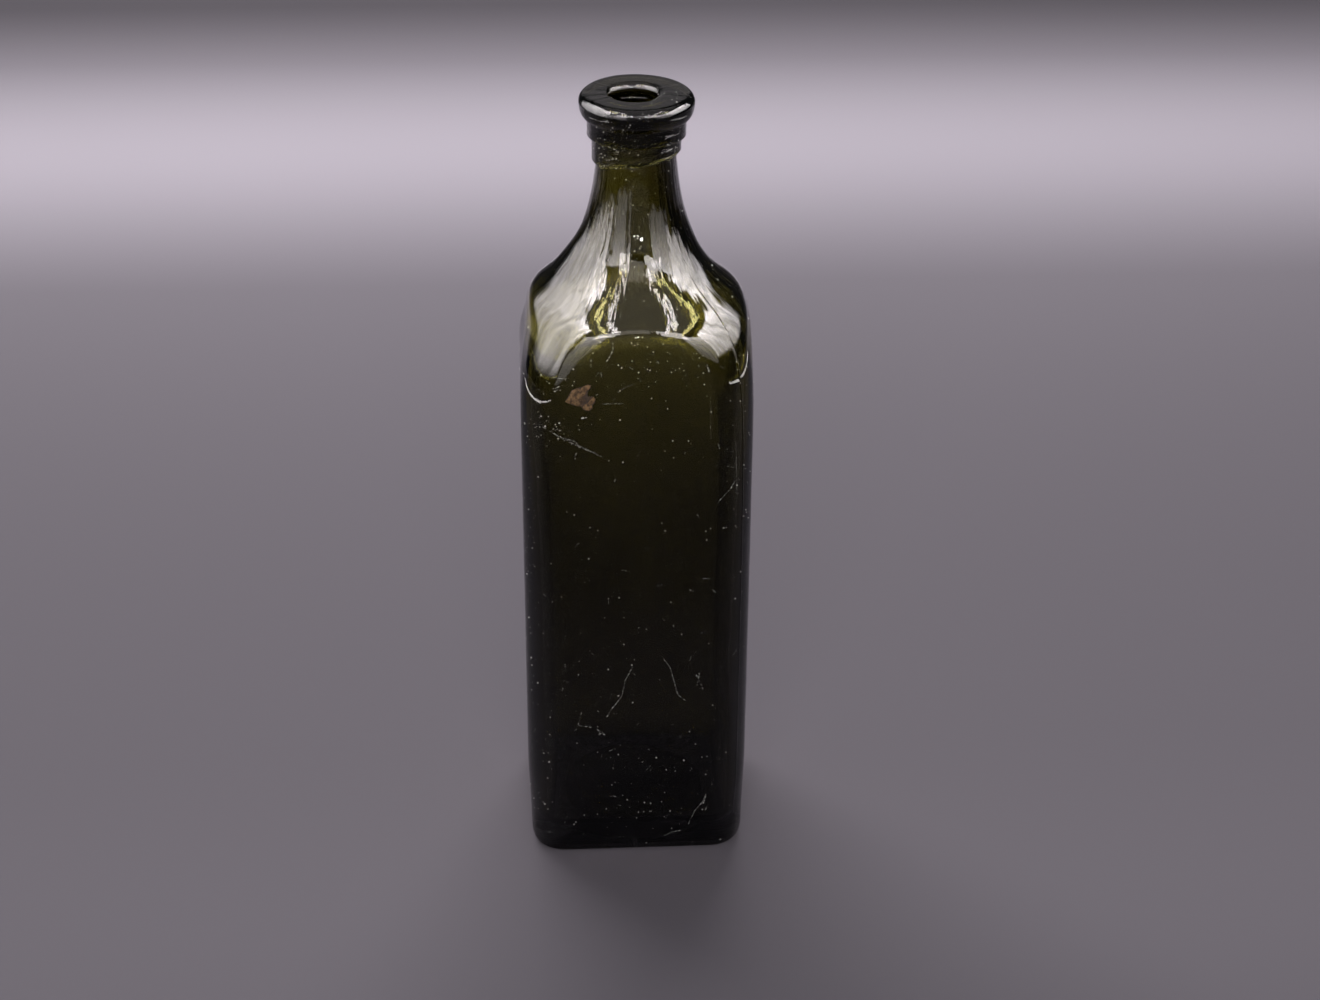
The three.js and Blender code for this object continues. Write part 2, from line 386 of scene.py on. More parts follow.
def bezier(t, p0, p1, p2, p3):
    t = np.asarray(t)[:, None]
    u = 1 - t
    point = u**3 * p0 + 3 * u * u * t * p1 + 3 * u * t * t * p2 + t**3 * p3
    slope = 3 * u * u * (p1 - p0) + 6 * u * t * (p2 - p1) + 3 * t * t * (p3 - p2)
    return point, slope / np.linalg.norm(slope, axis=1)[:, None]


def bell_rings(neck_wall, body_wall):
    """Rings (reach, height, inset) of the bell from the neck down, moved inwards by the glass."""
    t = np.linspace(0, 1, BELL_ROWS)
    point, slope = bezier(t, *BELL_POINTS)
    thickness = neck_wall + (body_wall - neck_wall) * t
    reach = point[:, 0] + slope[:, 1] * thickness
    height = point[:, 1] - slope[:, 0] * thickness
    return [(r, z, body_wall) for r, z in zip(reach, height)]


def heel_rings(drawn_in, tall, inset, bottom):
    turns = np.linspace(0, math.pi / 2, RIM_ROWS)
    heights = bottom + tall * (1 - np.cos(turns))
    return [(BELL_REACH, z, inset + drawn_in * (1 - math.sin(a))) for z, a in zip(heights, turns)]


def push_rings(bottom):
    turns = np.linspace(0, math.pi / 2, PUSH_ROWS)
    return [(PUSH_RADIUS * math.sin(a), bottom + PUSH_HEIGHT * math.cos(a) ** 2, 0) for a in turns]


def wall_rings(low, high, inset_at):
    heights = np.linspace(low, high, WALL_ROWS)[1:-1]
    return [(BELL_REACH, z, inset_at(z)) for z in heights]


def smooth_step(value):
    value = np.clip(value, 0, 1)
    return value * value * (3 - 2 * value)


def rising(height, start, length):
    """0 up to a height and 1 from a length above it."""
    return smooth_step((height - start) / length)


def hump(height, middle, reach):
    """1 at a height and fading above and below it."""
    return np.exp(-(((height - middle) / reach) ** 2))


def wall_at(height):
    """Thickness of a wall, which grows towards the base, because the glass ran down."""
    down = 1 - np.exp(-np.maximum(WALL_TOP - height, 0) / WALL_RUN)
    return SHOULDER_WALL + (LOW_WALL - SHOULDER_WALL) * down


def lean(height):
    """How far the outside of the neck and lip stands to the right of the bottle's axis."""
    return LEAN * rising(height, *LEAN_ZONE) + LEAN_ABOVE * rising(height, *LEAN_ABOVE_ZONE)


def ring_table(rings, angles):
    """Radius and height of every point of the rings, one row a ring."""
    reach, height, inset = (np.array(c)[:, None] for c in zip(*rings))
    square = square_reach(angles[None, :], inset)
    radius = soft_min(reach, square, blend_length(angles[None, :]))
    radius = np.where(reach < ON_AXIS, 0, radius)
    return radius, np.broadcast_to(height, radius.shape).copy()


def noise_table(radius, height, angles, length, seed):
    """Smooth noise from -1 to 1 over a table of points."""
    places = [radius * np.cos(angles) / length, radius * np.sin(angles) / length, height / length]
    x, y, z = (part.ravel() for part in places)
    shift = Vector((seed * 7.3, seed * 3.1, seed * 5.7))
    values = [noise.noise(Vector(place) + shift) for place in zip(x, y, z * NOISE_SQUEEZE)]
    return np.array(values).reshape(radius.shape)


def panel_share(radius, height, angles):
    """1 in the middle of each wall and 0 at its edges, for the slight sink of the panels."""
    x, y = np.abs(radius * np.cos(angles)), np.abs(radius * np.sin(angles))
    aside = np.clip(np.minimum(x, y) / CORNER_CENTRE, 0, 1)
    middle, reach = PANEL_ZONE
    up = np.clip(np.abs(height - middle) / reach, 0, 1)
    return np.cos(aside * math.pi / 2) ** 2 * np.cos(up * math.pi / 2) ** 2


def seam_share(angles):
    share = np.zeros_like(angles)
    for seam in SEAM_ANGLES:
        away = turn_between(angles, seam) * HALF * math.sqrt(2)
        share += np.exp(-((away / SEAM_WIDTH) ** 2) * 2)
    return share


def streak_share(angles):
    """0 to 2 round the neck, in upright streaks of uneven width."""
    return 1 + np.sin(angles * 41 + 3 * np.sin(angles * 5)) * np.sin(angles * 17 + 1)


def foot_draft(height):
    return FOOT_DRAFT * smooth_step((FOOT_HEIGHT - height) / (FOOT_HEIGHT - HEEL_HEIGHT))


def outer_table(angles):
    rings = push_rings(0)
    rings += heel_rings(HEEL_INSET, HEEL_HEIGHT, FOOT_DRAFT, 0)
    rings += wall_rings(HEEL_HEIGHT, NECK_END - BELL_DROP, foot_draft)
    rings += bell_rings(0, 0)[::-1]
    radius, height = ring_table(rings, angles)
    upright = rising(height, *UNEVEN_ZONE)
    neck = np.clip((height - NECK_END + STREAK_DROP) / FADE, 0, 1)
    wobble = noise_table(radius, height, angles, WOBBLE_LENGTH, 1) - 1
    radius += upright * OUTER_WOBBLE * 0.5 * wobble
    radius -= upright * PANEL_SINK * panel_share(radius, height, angles)
    radius -= neck * NECK_STREAK * streak_share(angles)
    fade = np.clip((NECK_END - SEAM_DROP - height) / FADE, 0, 1)
    radius += upright * fade * SEAM_HEIGHT * seam_share(angles)[None, :]
    radius -= WAIST_DENT * hump(height, *WAIST_ZONE)
    on_left = np.maximum(-np.cos(angles), 0)[None, :] ** 1.5
    radius -= LOW_SHOULDER * on_left * hump(height, *LOW_SHOULDER_ZONE)
    return radius, height


def inner_table(angles):
    rings = bell_rings(NECK_RADIUS - BORE_RADIUS, SHOULDER_WALL)
    rings = [(reach, z, wall_at(z)) for reach, z, _ in rings]
    heel_top = FLOOR + INNER_HEEL
    rings += wall_rings(heel_top, rings[-1][1], wall_at)[::-1]
    rings += heel_rings(INNER_HEEL, INNER_HEEL, wall_at(heel_top), FLOOR)[::-1]
    rings += push_rings(FLOOR)[::-1]
    radius, height = ring_table(rings, angles)
    low = np.clip((height - FLOOR - INNER_HEEL) / (3 * INNER_HEEL), 0, 1)
    high = np.clip((NECK_END - EVEN_BORE - height) / FADE, 0, 1)
    wobble = noise_table(radius, height, angles, INNER_LENGTH, 2)
    fine = noise_table(radius, height, angles, FINE_LENGTH, 3)
    radius += low * high * INNER_WOBBLE * (wobble + FINE_SHARE * fine)
    return radius, height


def add_object(name, data):
    made = bpy.data.objects.new(name, data)
    bpy.context.scene.collection.objects.link(made)
    return made


def closed_mesh(name, radius, height, angles, aside):
    """A closed body from a table of rings that starts and ends on the axis, or closes on itself."""
    rows, columns = radius.shape
    on_axis = radius[0].max() < ON_AXIS
    xyz = np.stack([radius * np.cos(angles) + aside, radius * np.sin(angles), height], -1)
    if on_axis:
        inner = xyz[1:-1].reshape(-1, 3)
        points = np.vstack([xyz[:1, 0], inner, xyz[-1:, 0]])
        grid = 1 + np.arange((rows - 2) * columns).reshape(rows - 2, columns)
    else:
        points = xyz.reshape(-1, 3)
        grid = np.arange(rows * columns).reshape(rows, columns)
        grid = np.vstack([grid, grid[:1]])
    a, b = grid[:-1], grid[1:]
    quads = np.stack([a, np.roll(a, -1, 1), np.roll(b, -1, 1), b], -1).reshape(-1, 4).tolist()
    if on_axis:
        first, last = grid[0], grid[-1]
        end = len(points) - 1
        quads += [[0, int(n), int(f)] for f, n in zip(first, np.roll(first, -1))]
        quads += [[end, int(f), int(n)] for f, n in zip(last, np.roll(last, -1))]
    mesh = bpy.data.meshes.new(name)
    mesh.from_pydata(points.tolist(), [], quads)
    mesh.validate()
    mesh.shade_smooth()
    return add_object(name, mesh)


def arc(cx, cz, rx, rz, start, end, rows=FINE_ROWS):
    turns = np.linspace(start, end, rows) * math.pi / 2
    return [(cx + rx * math.cos(a), cz + rz * math.sin(a)) for a in turns]


def straight(a, b, rows):
    t = np.linspace(0, 1, rows + 1)[1:-1]
    return [(a[0] + (b[0] - a[0]) * s, a[1] + (b[1] - a[1]) * s) for s in t]


def seat_points(bottom):
    """The neck's outside from the lip's lower edge to the neck's end, sunk where they fuse."""
    t = np.linspace(0, 1, CURVE_ROWS)
    point, _ = bezier(t, *BELL_POINTS)
    foot = np.interp(-bottom, -point[:, 1], t)
    point, _ = bezier(np.linspace(foot, 0, SEAT_ROWS), *BELL_POINTS)
    return [(r - FUSE, z) for r, z in point[:-1]] + [(NECK_RADIUS - FUSE, NECK_END - FUSE)]


def lip_outline():
    collar_top = LIP_TOP - FLANGE_DEPTH
    ring_top = collar_top - COLLAR_DEPTH
    bottom = ring_top - RING_DEPTH
    middle = LIP_TOP - FLANGE_RIM
    outline = seat_points(bottom)
    seat = NECK_END - FUSE
    outline += [(BORE_RADIUS + 0.4 * (NECK_RADIUS - BORE_RADIUS), seat), (BORE_RADIUS, seat)]
    outline += straight((BORE_RADIUS, seat), (BORE_RADIUS, LIP_TOP - MOUTH_RIM), 5)
    outline += arc(BORE_RADIUS + MOUTH_RIM, LIP_TOP - MOUTH_RIM, MOUTH_RIM, MOUTH_RIM, 2, 1)
    flat_end = FLANGE_RADIUS - FLANGE_RIM
    outline += straight((BORE_RADIUS + MOUTH_RIM, LIP_TOP), (flat_end, LIP_TOP), 10)
    outline += arc(flat_end, middle, FLANGE_RIM, FLANGE_RIM, 1, 0, 14)
    overhang = FLANGE_RADIUS - COLLAR_RADIUS
    outline += arc(COLLAR_RADIUS, middle, overhang, middle - collar_top, 0, -1, 16)[1:]
    outline += straight((COLLAR_RADIUS, collar_top), (COLLAR_RADIUS, ring_top + STEP_RIM), 8)
    outline += arc(COLLAR_RADIUS - STEP_RIM, ring_top + STEP_RIM, STEP_RIM, STEP_RIM, 0, -1)
    outline += [(RING_RADIUS, ring_top)]
    outline += straight((RING_RADIUS, ring_top), (RING_RADIUS, bottom + STEP_RIM), 10)
    outline += arc(RING_RADIUS - STEP_RIM, bottom + STEP_RIM, STEP_RIM, STEP_RIM, 0, -1)
    return outline[::-1], ring_top


def make_body():
    angles = column_angles()
    outer_r, outer_z = outer_table(angles)
    inner_r, inner_z = inner_table(angles)
    radius, height = np.vstack([outer_r, inner_r]), np.vstack([outer_z, inner_z])
    aside = np.vstack([lean(outer_z), np.zeros_like(inner_z)])
    return closed_mesh("bottle_glass", radius, height, angles, aside)


def make_lip():
    outline, ring_top = lip_outline()
    angles = np.linspace(0, 2 * math.pi, LIP_COLUMNS, endpoint=False)
    radius, height = (np.array(c)[:, None] * np.ones_like(angles)[None, :] for c in zip(*outline))
    outside = np.clip((radius - RING_RADIUS + OUTSIDE_OVER) / OUTSIDE_OVER, 0, 1)
    wobble = noise_table(radius, height, angles, LIP_WOBBLE_LENGTH, 4)
    wave = noise_table(radius, height, angles, LIP_WAVE_LENGTH, 5)
    tooled = np.clip((LIP_TOP - FLANGE_DEPTH - height) / MM, 0, 1)
    tooling = np.sin(height / TOOLING_LENGTH + 2.5 * wave) * tooled
    swell = LIP_WAVE * wave - LIP_TRIM + LIP_WOBBLE * wobble + TOOLING * tooling
    radius = radius + outside * swell
    below = np.clip((ring_top - height) / RING_DEPTH, 0, 1)
    ragged = noise_table(radius, height * 0, angles, RAGGED_LENGTH, 6)
    run = np.exp(-(((angles[None, :] - RUN_ANGLE) * RUN_NARROWNESS) ** 2))
    sag = LIP_SAG * radius * np.cos(angles) / RING_RADIUS
    height = height + below * (sag + below * (RAGGED * ragged - RUN_DEPTH * run))
    aside = lean(height) * smooth_step((radius - BORE_RADIUS) / LEAN_OVER)
    on_top = np.clip((height - LIP_TOP + TOP_OVER) / TOP_OVER, 0, 1)
    height = height + on_top * TOP_WAVE * (wave - 1)
    tilted = smooth_step((height - NECK_END + TILT_OVER) / TILT_OVER)
    height = height - tilted * (LIP_SINK - LIP_TILT * radius * np.sin(angles))
    return closed_mesh("lip_glass", radius, height, angles, aside)


def node(tree, kind, **inputs):
    made = tree.nodes.new(kind)
    for name, value in inputs.items():
        made.inputs[name.replace("_", " ")].default_value = value
    return made


def new_material(name):
    material = bpy.data.materials.new(name)
    material.use_nodes = True
    tree = material.node_tree
    tree.nodes.clear()
    out = tree.nodes.new("ShaderNodeOutputMaterial")
    shader = tree.nodes.new("ShaderNodeBsdfPrincipled")
    tree.links.new(shader.outputs["BSDF"], out.inputs["Surface"])
    return material, tree, shader, out


def arithmetic(tree, operation, *values):
    made = tree.nodes.new("ShaderNodeMath")
    made.operation = operation
    for socket, value in zip(made.inputs, values):
        if isinstance(value, (int, float)):
            socket.default_value = value
        else:
            tree.links.new(value, socket)
    return made.outputs[0]


def ramp(tree, source, low, high, start, end):
    made = node(tree, "ShaderNodeMapRange", From_Min=low, From_Max=high, To_Min=start, To_Max=end)
    tree.links.new(source, made.inputs["Value"])
    return made.outputs["Result"]


def parts_of(tree, vector):
    """The three numbers of a vector."""
    split = tree.nodes.new("ShaderNodeSeparateXYZ")
    tree.links.new(vector, split.inputs[0])
    return split.outputs


def object_place(tree):
    return tree.nodes.new("ShaderNodeTexCoord").outputs["Object"]


def noise_over(tree, place, scale, detail, rough, stretch=(1, 1, 1)):
    """Noise from 0 to 1 over places, which are stretched first."""
    mapping = node(tree, "ShaderNodeMapping", Scale=stretch)
    tree.links.new(place, mapping.inputs["Vector"])
    made = node(tree, "ShaderNodeTexNoise", Scale=scale, Detail=detail, Roughness=rough)
    tree.links.new(mapping.outputs["Vector"], made.inputs["Vector"])
    return made.outputs["Fac"]


def two_shades(tree, share, first, second):
    blend = tree.nodes.new("ShaderNodeMixRGB")
    blend.inputs[1].default_value = (*first, 1)
    blend.inputs[2].default_value = (*second, 1)
    tree.links.new(share, blend.inputs[0])
    return blend.outputs[0]


def bumped(tree, height, strength, distance, normal=None):
    """A normal bent by a height, on top of another bend where one is given."""
    bump = node(tree, "ShaderNodeBump", Strength=strength, Distance=distance)
    tree.links.new(height, bump.inputs["Height"])
    if normal is not None:
        tree.links.new(normal, bump.inputs["Normal"])
    return bump.outputs["Normal"]


def drawn_streaks(tree):
    """Fine lines that run down the neck and out over the shoulder, where the glass was drawn."""
    x, y, z = parts_of(tree, object_place(tree))
    turn = arithmetic(tree, "ARCTAN2", y, x)
    around = tree.nodes.new("ShaderNodeCombineXYZ")
    tree.links.new(arithmetic(tree, "COSINE", turn), around.inputs[0])
    tree.links.new(arithmetic(tree, "SINE", turn), around.inputs[1])
    tree.links.new(arithmetic(tree, "MULTIPLY", z, DRAWN_TWIST), around.inputs[2])
    lines = noise_over(tree, around.outputs[0], DRAWN_LINES, detail=3, rough=0.6)
    above = ramp(tree, z, DRAWN_FROM, DRAWN_FROM + DRAWN_OVER, 0, 1)
    return arithmetic(tree, "MULTIPLY", lines, above)


def glass_material(name, density, grain):
    """Clear glass that absorbs light by its depth, with a thin uneven film of grime."""
    material, tree, shader, out = new_material(name)
    shader.inputs["Transmission Weight"].default_value = 1.0
    shader.inputs["IOR"].default_value = GLASS_IOR
    place = object_place(tree)
    smudge = noise_over(tree, place, scale=55, detail=4, rough=0.6, stretch=(1, 1, 0.4))
    film = two_shades(tree, ramp(tree, smudge, 0.5, 0.75, 0, 1), CLEAN_FILM, GRIMY_FILM)
    tree.links.new(film, shader.inputs["Base Color"])
    tree.links.new(ramp(tree, smudge, 0.48, 0.75, 0.01, 0.055), shader.inputs["Roughness"])
    pits = noise_over(tree, place, scale=900, detail=3, rough=0.6)
    pitted = bumped(tree, pits, grain, PIT_DEPTH)
    drawn = bumped(tree, drawn_streaks(tree), 1.0, DRAWN_RELIEF, pitted)
    tree.links.new(drawn, shader.inputs["Normal"])
    volume = node(tree, "ShaderNodeVolumeAbsorption", Color=(*PASSED, 1), Density=density)
    tree.links.new(volume.outputs["Volume"], out.inputs["Volume"])
    return material


def dull_material(name, pale, dark, scale, roughness, sparkle=0.3):
    """A dry surface whose colour wanders between two shades."""
    material, tree, shader, _ = new_material(name)
    shader.inputs["Specular IOR Level"].default_value = sparkle
    patches = noise_over(tree, object_place(tree), scale, detail=4, rough=0.65)
    grain = noise_over(tree, object_place(tree), scale * 6, detail=3, rough=0.6)
    colour = two_shades(tree, ramp(tree, patches, 0.35, 0.65, 0, 1), dark, pale)
    tree.links.new(colour, shader.inputs["Base Color"])
    rough = ramp(tree, grain, 0, 1, roughness - 0.1, roughness + 0.1)
    tree.links.new(rough, shader.inputs["Roughness"])
    tree.links.new(bumped(tree, grain, 0.4, DULL_DEPTH), shader.inputs["Normal"])
    return material


def glass_tree(piece):
    faces = [tuple(face.vertices) for face in piece.data.polygons]
    return BVHTree.FromPolygons([vertex.co for vertex in piece.data.vertices], faces)


def hit_glass(start, direction):
    """The nearest place on the bottle along a ray, with the normal that faces the ray's start."""
    hits = [tree.ray_cast(start, direction) for tree in GLASS_TREES]
    hits = [hit for hit in hits if hit[0] is not None]
    if not hits:
        return None
    place, normal, _, _ = min(hits, key=lambda hit: hit[3])
    return place, normal if normal.dot(direction) < 0 else -normal


def front_hit(x, z):
    return hit_glass(Vector((x, -OUTSIDE, z)), Vector((0, 1, 0)))


def side_hit(azimuth, z):
    outwards = Vector((math.sin(azimuth), -math.cos(azimuth), 0))
    return hit_glass(outwards * OUTSIDE + Vector((0, 0, z)), -outwards)


def top_hit(x, y):
    return hit_glass(Vector((x, y, LIP_TOP + OUTSIDE)), Vector((0, 0, -1)))


def solid_piece(name, points, faces, material):
    """A closed piece, cut flat where it would stand out of the bottle's own box."""
    mesh = bpy.data.meshes.new(name)
    mesh.from_pydata(np.clip(points, *map(tuple, cad_box)).tolist(), [], faces)
    mesh.validate()
    shaped = bmesh.new()
    shaped.from_mesh(mesh)
    bmesh.ops.recalc_face_normals(shaped, faces=shaped.faces)
    shaped.to_mesh(mesh)
    shaped.free()
    mesh.materials.append(material)
    return add_object(name, mesh)


def add_thread(points, faces, path, width, rise, rng):
    """A thin closed thread along places with normals, pointed at both ends."""
    first = len(points)
    points.append(path[0][0])
    for before, (place, normal), after in zip(path, path[1:], path[2:]):
        side = (after[0] - before[0]).cross(normal).normalized() * width / 2 * rng.uniform(0.6, 1.2)
        points += [place + side, place + normal * rise, place - side, place - normal * rise]
    points.append(path[-1][0])
    end = len(points) - 1
    rings = [range(ring, ring + 4) for ring in range(first + 1, end, 4)]
    for k in range(4):
        after = (k + 1) % 4
        faces.append((first, rings[0][after], rings[0][k]))
        faces.append((end, rings[-1][k], rings[-1][after]))
        faces += [(a[k], a[after], b[after], b[k]) for a, b in zip(rings, rings[1:])]


def jitter(rng, size):
    return Vector((rng.uniform(-1, 1), rng.uniform(-1, 1))) * size


def bent_line(middle, turn, length, bend):
    """Three points of a short line that is bent in its middle."""
    reach = Vector((math.cos(turn), math.sin(turn))) * length / 2
    return middle - reach, middle + reach.orthogonal() * bend, middle + reach


def front_path(line, rng):
    """Places and normals on the front under a line of (x, z) in millimetres."""
    path = []
    for start, end in zip(line, line[1:]):
        start, end = Vector(start) * MM, Vector(end) * MM
        count = max(2, round((end - start).length / THREAD_STEP))
        for i in range(count):
            at = start.lerp(end, i / count) + jitter(rng, THREAD_JITTER) * MM
            hit = front_hit(*at)
            if hit:
                path.append(hit)
    return path


def add_scratch(points, faces, line, width, rng):
    """A scratch that is broken into short dashes."""
    path = front_path(line, rng)
    start = 0
    while start < len(path) - 2:
        length = rng.randint(3, 6)
        dash = path[start:start + length]
        if len(dash) > 2:
            add_thread(points, faces, dash, width * MM * rng.uniform(0.4, 1.3), SCRATCH_RISE, rng)
        start += length + rng.choice((-1, 0, 0, 1, 2))


def add_fleck(points, faces, hit, size, rng):
    """A crumb of dust: a low prism with an irregular outline."""
    place, normal = hit
    across = normal.orthogonal().normalized()
    along = normal.cross(across)
    sides = rng.randint(5, 7)
    first = len(points)
    slant = rng.uniform(0, 2 * math.pi)
    reaches = [size / 2 * rng.uniform(0.5, 1.3) for _ in range(sides)]
    for level, share in ((-0.1, 1.0), (0.4, 0.6)):
        for i, reach in enumerate(reaches):
            turn = slant + 2 * math.pi * i / sides
            aside = across * math.cos(turn) + along * math.sin(turn)
            points.append(place + aside * reach * share + normal * size * level)
    faces.append(tuple(range(first + sides - 1, first - 1, -1)))
    faces.append(tuple(range(first + sides, first + 2 * sides)))
    for i in range(sides):
        after = (i + 1) % sides
        faces.append((first + i, first + after, first + sides + after, first + sides + i))


def make_scratches():
    rng = random.Random(11)
    points, faces = [], []
    for width, line in SCRATCHES.values():
        add_scratch(points, faces, line, width, rng)
    for _ in range(SMALL_SCRATCHES):
        middle = Vector([rng.uniform(*span) for span in SCRATCHED_AREA])
        turn, length = rng.uniform(0, math.pi), rng.uniform(0.6, 2.6)
        line = bent_line(middle, turn, length, rng.uniform(-0.3, 0.3))
        add_scratch(points, faces, line, rng.uniform(0.04, 0.1), rng)
    pale, dark = (0.6, 0.6, 0.57), (0.15, 0.15, 0.14)
    material = dull_material("scratched_glass", pale, dark, scale=500, roughness=0.4, sparkle=0.8)
    return solid_piece("scratches", points, faces, material)


def make_dust():
    rng = random.Random(5)
    points, faces = [], []
    hits = []
    for _ in range(FRONT_FLECKS):
        hits.append(front_hit(rng.uniform(*DUSTY_WIDTH) * MM, rng.uniform(*DUSTY_HEIGHT) * MM))
    for _ in range(ROUND_FLECKS):
        hits.append(side_hit(rng.uniform(-math.pi, math.pi), rng.uniform(*DUSTY_HEIGHT) * MM))
    for _ in range(TOP_FLECKS):
        hits.append(top_hit(*[rng.gauss(middle, spread) * MM for middle, spread in TOP_DUST]))
    for x, z, spread_x, spread_z, count in DUST_CLUSTERS:
        for _ in range(count):
            hits.append(front_hit(rng.gauss(x, spread_x) * MM, rng.gauss(z, spread_z) * MM))
    for hit in hits:
        if hit and hit[0].z > LOWEST_DUST:
            size = FINEST_FLECK + FLECK_RANGE * rng.random() ** 4
            add_fleck(points, faces, hit, size * MM, rng)
    for x, z, size in SPECKS:
        hit = front_hit(x * MM, z * MM)
        add_fleck(points, faces, hit, size * MM, rng)
    pale, dark = (0.72, 0.7, 0.66), (0.42, 0.4, 0.37)
    material = dull_material("dust", pale, dark, scale=300, roughness=0.4, sparkle=0.8)
    return solid_piece("dust", points, faces, material)


def torn_edge(outline, rng):
    """A closed outline of (x, z) in millimetres with an uneven, torn edge."""
    edge = []
    for start, end in zip(outline, outline[1:] + outline[:1]):
        start, end = Vector(start), Vector(end)
        count = max(2, round((end - start).length / TORN_STEP))
        for i in range(count):
            edge.append(start.lerp(end, i / count) + jitter(rng, TORN_JITTER))
    return edge


def border_edges(triangles):
    """The edges that only one triangle uses."""
    uses = Counter()
    for face in triangles:
        uses.update(tuple(sorted(edge)) for edge in zip(face, face[1:] + face[:1]))
    return [edge for edge, count in uses.items() if count == 1]


def add_sheet(points, faces, outline, thickness, seed):
    """A thin uneven sheet that lies on the front wall inside a torn outline."""
    rng = random.Random(seed)
    edge = torn_edge(outline, rng)
    low = [min(at[k] for at in edge) for k in (0, 1)]
    high = [max(at[k] for at in edge) for k in (0, 1)]
    inner = []
    for x in np.arange(low[0], high[0], SHEET_STEP):
        for z in np.arange(low[1], high[1], SHEET_STEP):
            at = Vector((x, z)) + jitter(rng, SHEET_JITTER)
            if min((at - other).length for other in edge) > EDGE_CLEAR:
                inner.append(at)
    border = [(i, (i + 1) % len(edge)) for i in range(len(edge))]
    flat, _, triangles, _, _, _ = geometry.delaunay_2d_cdt(edge + inner, border, [], 1, 1e-5)
    first, count = len(points), len(flat)
    top, under = [], []
    for at in flat:
        to_edge = min((at - other).length for other in edge)
        x, z = at.x * MM + SCRAP_CENTRE.x, at.y * MM + SCRAP_CENTRE.y
        place, normal = front_hit(x, z)
        crumple = Vector((at.x * CRUMPLE_FINENESS, at.y * CRUMPLE_FINENESS, seed))
        relief = 1 + CRUMPLE * noise.noise(crumple)
        share = EDGE_SHARE + (1 - EDGE_SHARE) * min(to_edge / EDGE_WIDTH, 1)
        rise = thickness * share * relief
        top.append(place + normal * rise)
        under.append(place - normal * PAPER_SUNK)
    points += top + under
    for face in triangles:
        faces.append(tuple(first + i for i in face))
        faces.append(tuple(first + count + i for i in reversed(face)))
    for a, b in border_edges(triangles):
        faces.append((first + a, first + b, first + count + b, first + count + a))


def make_scrap():
    points, faces = [], []
    add_sheet(points, faces, SCRAP_MAIN, MAIN_PLY, 1)
    add_sheet(points, faces, SCRAP_PALE, PALE_PLY, 2)
    rng = random.Random(8)
    for _ in range(FIBRES):
        corner = Vector(rng.choice(SCRAP_MAIN + SCRAP_PALE))
        middle = corner * rng.uniform(0.2, 1.0) + SCRAP_CENTRE / MM
        turn, length = rng.gauss(0.6, 0.6), rng.uniform(0.5, 1.5)
        path = front_path(bent_line(middle, turn, length, 0.2), rng)
        path = [(place + normal * FIBRE_LIFT * MM, normal) for place, normal in path]
        add_thread(points, faces, path, FIBRE_WIDTH, FIBRE_RISE, rng)
    pale, dark = (0.19, 0.105, 0.042), (0.026, 0.013, 0.005)
    material = dull_material("old_paper", pale, dark, scale=1300, roughness=0.9)
    return solid_piece("label_scrap_paper", points, faces, material)


def make_residue():
    points, faces = [], []
    add_sheet(points, faces, SCRAP_RESIDUE, PASTE, 3)
    pale, dark = (0.055, 0.03, 0.017), (0.015, 0.01, 0.006)
    material = dull_material("dried_paste", pale, dark, scale=1100, roughness=0.7)
    return solid_piece("label_paste", points, faces, material)


def area_lamp(name, place, size, power):
    light = bpy.data.lights.new(name, "AREA")
    light.shape = "RECTANGLE"
    light.size, light.size_y = size
    light.energy = power
    lamp = add_object(name, light)
    lamp.location = place
    lamp.visible_camera = False
    return lamp


def softbox(name, azimuth, elevation, distance, size, power):
    """A lamp facing the bottle, at an azimuth from +Y towards +X and an elevation, in degrees."""
    turn, rise = math.radians(azimuth), math.radians(elevation)
    level = math.cos(rise)
    towards = Vector((math.sin(turn) * level, math.cos(turn) * level, math.sin(rise)))
    lamp = area_lamp(name, LIT_CENTRE + towards * distance, size, power)
    lamp.rotation_euler = (-towards).to_track_quat("-Z", "Y").to_euler()
    lamp.visible_glossy = False
    return lamp


def soft_edge(tree, share, width):
    """1 inside a lamp and 0 at its two edges along one side."""
    to_edge = arithmetic(tree, "MINIMUM", share, arithmetic(tree, "SUBTRACT", 1.0, share))
    made = node(tree, "ShaderNodeMapRange", From_Min=0, From_Max=width, To_Min=0, To_Max=1)
    made.interpolation_type = "SMOOTHSTEP"
    tree.links.new(to_edge, made.inputs["Value"])
    return made.outputs["Result"]


